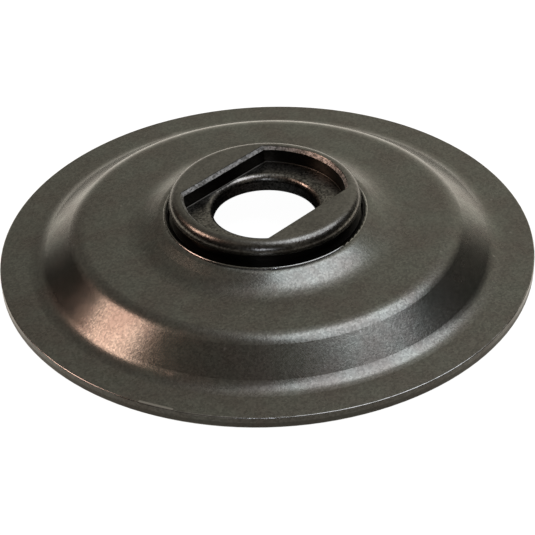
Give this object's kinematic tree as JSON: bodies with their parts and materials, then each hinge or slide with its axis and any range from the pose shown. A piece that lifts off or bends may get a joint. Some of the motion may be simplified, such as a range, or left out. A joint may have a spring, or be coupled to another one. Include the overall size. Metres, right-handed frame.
{
  "type": "clamping flange",
  "caption": "Round pressed-steel clamping flange for a cutting wheel, with a flat rim, two conical steps and a keyed hub that has an arbor bore and a drive socket with flats.",
  "frame": {"origin": "centre of the rim's clamping face, on the flange's axis", "axes": "+Z along the axis towards the hub's nose, away from the wheel; the two flats of the drive socket are parallel to X"},
  "size_m": [0.103, 0.103, 0.0141],
  "materials": {
    "pressed_steel": "dark phosphated and oiled, satin, fine grain",
    "turned_steel": "dark phosphated, satin, edges rubbed brighter",
    "seat_steel": "dark phosphated, satin, coarse grain",
    "collar_steel": "dark phosphated, satin"
  },
  "bodies": {
    "root": {"pressed_dish": "pressed_steel", "drive_hub": "turned_steel", "bolt_seat": "seat_steel", "retaining_collar": "collar_steel"}
  },
  "joints": []
}
